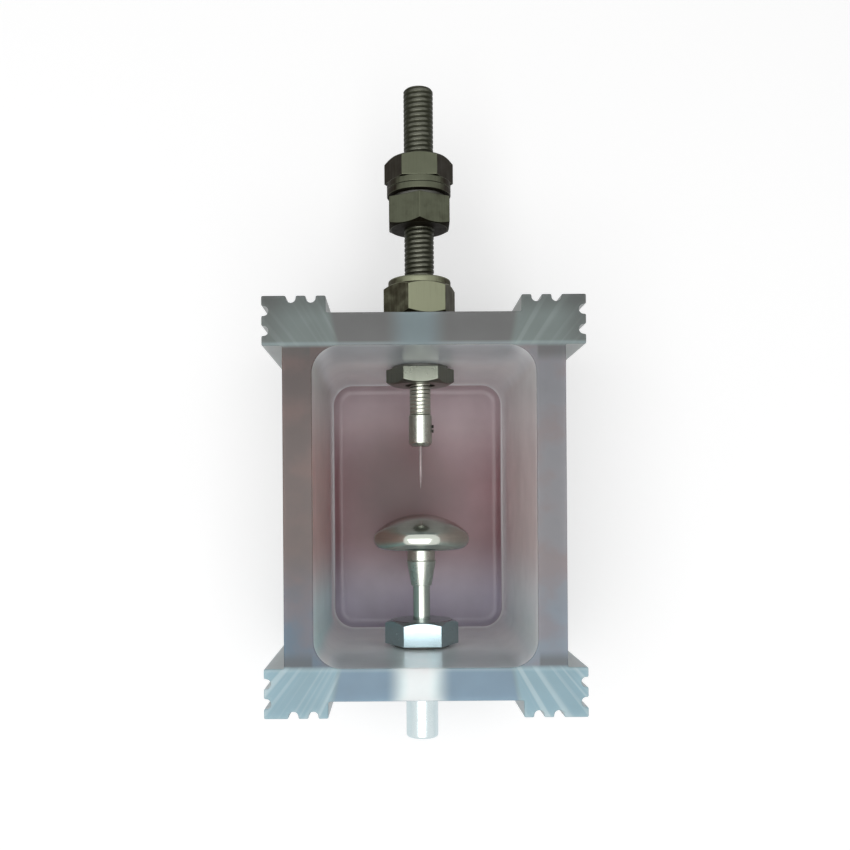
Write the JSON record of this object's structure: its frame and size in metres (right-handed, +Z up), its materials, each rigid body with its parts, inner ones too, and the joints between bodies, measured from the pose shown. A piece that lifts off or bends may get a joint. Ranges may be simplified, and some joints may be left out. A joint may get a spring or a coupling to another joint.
{
  "type": "needle to dome spark gap in a test vessel",
  "caption": "Open moulded plastic test vessel with a screw-fed needle electrode facing a polished dome electrode across an adjustable spark gap.",
  "frame": {"origin": "centre of the vessel's flat base, on the surface it stands on", "axes": "+Z up out of the vessel's open mouth, +Y along the electrode line towards the screw-fed needle's terminal, +X to the right when looking along +Y"},
  "size_m": [0.1056, 0.2432, 0.11],
  "materials": {
    "vessel_plastic": "moulded, translucent, slightly frosted",
    "nickel_brass": "worn nickel plate over brass",
    "nickel_steel": "dull nickel plate",
    "dull_brass": "dull threaded",
    "zinc_steel": "zinc plate",
    "polished_chrome": "mirror polished",
    "bright_nickel": "bright nickel plate",
    "needle_steel": "ground",
    "rubber": "moulded",
    "packing": "turned"
  },
  "bodies": {
    "vessel_body": {"vessel": "vessel_plastic", "gland_bush": "nickel_brass", "gland_gasket": "rubber", "gland_flat_washer": "zinc_steel", "gland_clamp_nut": "nickel_brass", "rod_packing": "packing", "gland_nut": "nickel_brass", "dome_electrode": "polished_chrome", "dome_collar": "polished_chrome", "dome_cone": "polished_chrome", "dome_stem": "polished_chrome", "electrode_bush": "bright_nickel", "electrode_gasket": "rubber", "electrode_flat_washer": "zinc_steel", "electrode_clamp_nut": "bright_nickel", "contact_pin": "bright_nickel"},
    "needle_feed": {"needle": "needle_steel"},
    "rod": {"adjusting_rod": "dull_brass", "needle_holder": "polished_chrome", "needle_screw": "zinc_steel", "terminal_seat_nut": "nickel_steel"},
    "lug_washers": {"terminal_spring_washer": "zinc_steel", "terminal_inner_washer": "nickel_steel", "terminal_outer_washer": "nickel_steel"},
    "loose_nut": {"terminal_nut": "nickel_steel"}
  },
  "joints": [
    {"name": "needle_travel", "type": "slide", "parent": "vessel_body", "child": "needle_feed", "axis": [0, 1, 0], "range_m": [-0.009, 0.0109]},
    {"name": "rod_turn", "type": "hinge", "parent": "needle_feed", "child": "rod", "pos_m": [0, 0, 0.0612], "axis": [0, 1, 0], "range_deg": [-1787, 2164]},
    {"name": "washer_travel", "type": "slide", "parent": "rod", "child": "lug_washers", "axis": [0, 1, 0], "range_m": [0, 0.012]},
    {"name": "terminal_nut_turn", "type": "hinge", "parent": "lug_washers", "child": "loose_nut", "pos_m": [0, 0, 0.0612], "axis": [0, 1, 0], "range_deg": [0, 2381]}
  ],
  "couplings": [
    {"joint": "rod_turn", "follows": "needle_travel", "rad_per_m": 3463.7},
    {"joint": "washer_travel", "follows": "terminal_nut_turn", "m_per_rad": 0.00028871}
  ]
}
